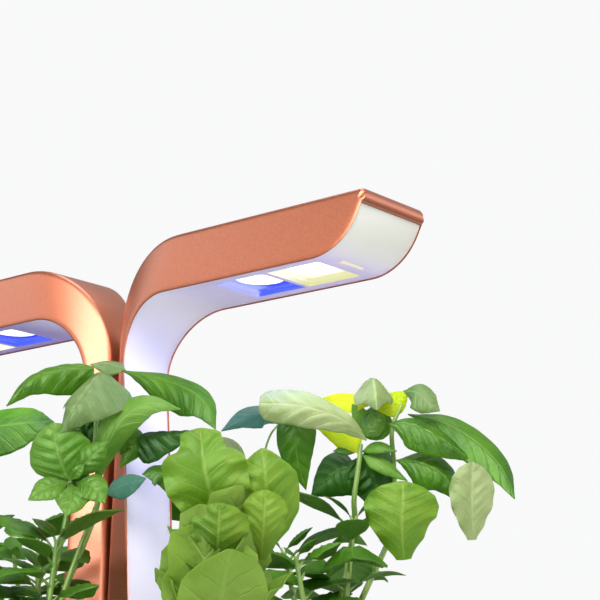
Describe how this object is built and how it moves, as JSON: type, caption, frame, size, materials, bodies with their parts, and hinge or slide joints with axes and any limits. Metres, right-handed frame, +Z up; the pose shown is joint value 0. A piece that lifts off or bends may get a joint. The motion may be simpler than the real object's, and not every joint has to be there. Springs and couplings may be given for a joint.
{
  "type": "countertop hydroponic garden",
  "caption": "Tabletop hydroponic herb garden: copper tank with white deck, planted pods and swept lamp arms on a lifting mast.",
  "frame": {"origin": "on the table under the middle of the tank", "axes": "+X along the lamp arms, -Y towards the front of the deck, +Z up"},
  "size_m": [0.431, 0.2311, 0.364],
  "materials": {
    "copper_paint": "satin metallic copper finish with a fine flake",
    "white_plastic": "satin white",
    "tank_liner": "smooth light grey",
    "reflector_white": "glossy white",
    "clear_pane": "clear cover pane",
    "blue_emitter": "lit blue emitter",
    "warm_emitter": "lit warm white emitter",
    "sensor_lens": "cream diffusing lens",
    "sink_metal": "brushed",
    "circuit_board": "solder mask green",
    "cable_black": "black sheath",
    "post_metal": "brushed",
    "rubber_foot": "matt black",
    "dark_plastic": "textured dark grey",
    "spring_steel": "bright wire",
    "pod_plastic": "grey moulded basket",
    "basil_leaf": "glossy puckered leaves",
    "lettuce_leaf": "thin pale leaves"
  },
  "bodies": {
    "base": {"outer_shell": "copper_paint", "base_plate": "dark_plastic", "water_tank": "tank_liner", "deck": "white_plastic", "mast_collar": "white_plastic", "post_bracket": "dark_plastic", "lift_post_left": "post_metal", "lift_post_right": "post_metal", "button_spring": "spring_steel", "pump_body": "dark_plastic", "pump_cover": "dark_plastic", "control_board": "circuit_board", "power_inlet": "cable_black", "foot_front_left": "rubber_foot", "foot_front_right": "rubber_foot", "foot_rear_left": "rubber_foot", "foot_rear_right": "rubber_foot"},
    "lamp": {"leg_base": "copper_paint", "arm_shell_right": "copper_paint", "arm_panel_right": "white_plastic", "lamp_window_right": "clear_pane", "reflector_tray_right": "reflector_white", "blue_led_right": "blue_emitter", "white_led_right": "warm_emitter", "lamp_board_right": "circuit_board", "heat_sink_right": "sink_metal", "light_sensor_right": "sensor_lens", "lamp_wire_right": "cable_black", "arm_shell_left": "copper_paint", "arm_panel_left": "white_plastic", "lamp_window_left": "clear_pane", "reflector_tray_left": "reflector_white", "blue_led_left": "blue_emitter", "white_led_left": "warm_emitter", "lamp_board_left": "circuit_board", "heat_sink_left": "sink_metal", "light_sensor_left": "sensor_lens", "lamp_wire_left": "cable_black"},
    "lid": {"fill_lid": "white_plastic"},
    "float": {"level_float": "reflector_white"},
    "button": {"power_button": "white_plastic"},
    "impeller": {"pump_impeller": "white_plastic"},
    "pod_front_left": {"pod_cup_front_left": "pod_plastic", "pod_collar_front_left": "white_plastic", "plant_front_left": "basil_leaf"},
    "pod_front_centre": {"pod_cup_front_centre": "pod_plastic", "pod_collar_front_centre": "white_plastic", "plant_front_centre": "basil_leaf"},
    "pod_front_right": {"pod_cup_front_right": "pod_plastic", "pod_collar_front_right": "white_plastic", "plant_front_right": "lettuce_leaf"},
    "pod_rear_left": {"pod_cup_rear_left": "pod_plastic", "pod_collar_rear_left": "white_plastic", "plant_rear_left": "basil_leaf"},
    "pod_rear_centre": {"pod_cup_rear_centre": "pod_plastic", "pod_collar_rear_centre": "white_plastic", "plant_rear_centre": "basil_leaf"},
    "pod_rear_right": {"pod_cup_rear_right": "pod_plastic", "pod_collar_rear_right": "white_plastic", "plant_rear_right": "basil_leaf"}
  },
  "joints": [
    {"name": "lamp_height", "type": "slide", "parent": "base", "child": "lamp", "axis": [0, 0, 1], "range_m": [0, 0.08]},
    {"name": "fill_lid_hinge", "type": "hinge", "parent": "base", "child": "lid", "pos_m": [0.1576, 0, 0.0765], "axis": [0, -1, 0], "range_deg": [0, 95]},
    {"name": "float_slide", "type": "slide", "parent": "base", "child": "float", "axis": [0, 0, 1], "range_m": [0, 0.022]},
    {"name": "button_press", "type": "slide", "parent": "base", "child": "button", "axis": [0, 0, -1], "range_m": [0, 0.0015], "stiffness_N_per_m": 300, "springref_m": -0.002, "deforming": ["button_spring"]},
    {"name": "impeller_spin", "type": "hinge", "parent": "base", "child": "impeller", "pos_m": [0.068, 0, 0.03], "axis": [0, 0, 1], "continuous": true},
    {"name": "pod_lift_front_left", "type": "slide", "parent": "base", "child": "pod_front_left", "axis": [0, 0, 1], "range_m": [0, 0.03]},
    {"name": "pod_lift_front_centre", "type": "slide", "parent": "base", "child": "pod_front_centre", "axis": [0, 0, 1], "range_m": [0, 0.03]},
    {"name": "pod_lift_front_right", "type": "slide", "parent": "base", "child": "pod_front_right", "axis": [0, 0, 1], "range_m": [0, 0.03]},
    {"name": "pod_lift_rear_left", "type": "slide", "parent": "base", "child": "pod_rear_left", "axis": [0, 0, 1], "range_m": [0, 0.03]},
    {"name": "pod_lift_rear_centre", "type": "slide", "parent": "base", "child": "pod_rear_centre", "axis": [0, 0, 1], "range_m": [0, 0.03]},
    {"name": "pod_lift_rear_right", "type": "slide", "parent": "base", "child": "pod_rear_right", "axis": [0, 0, 1], "range_m": [0, 0.03]}
  ]
}
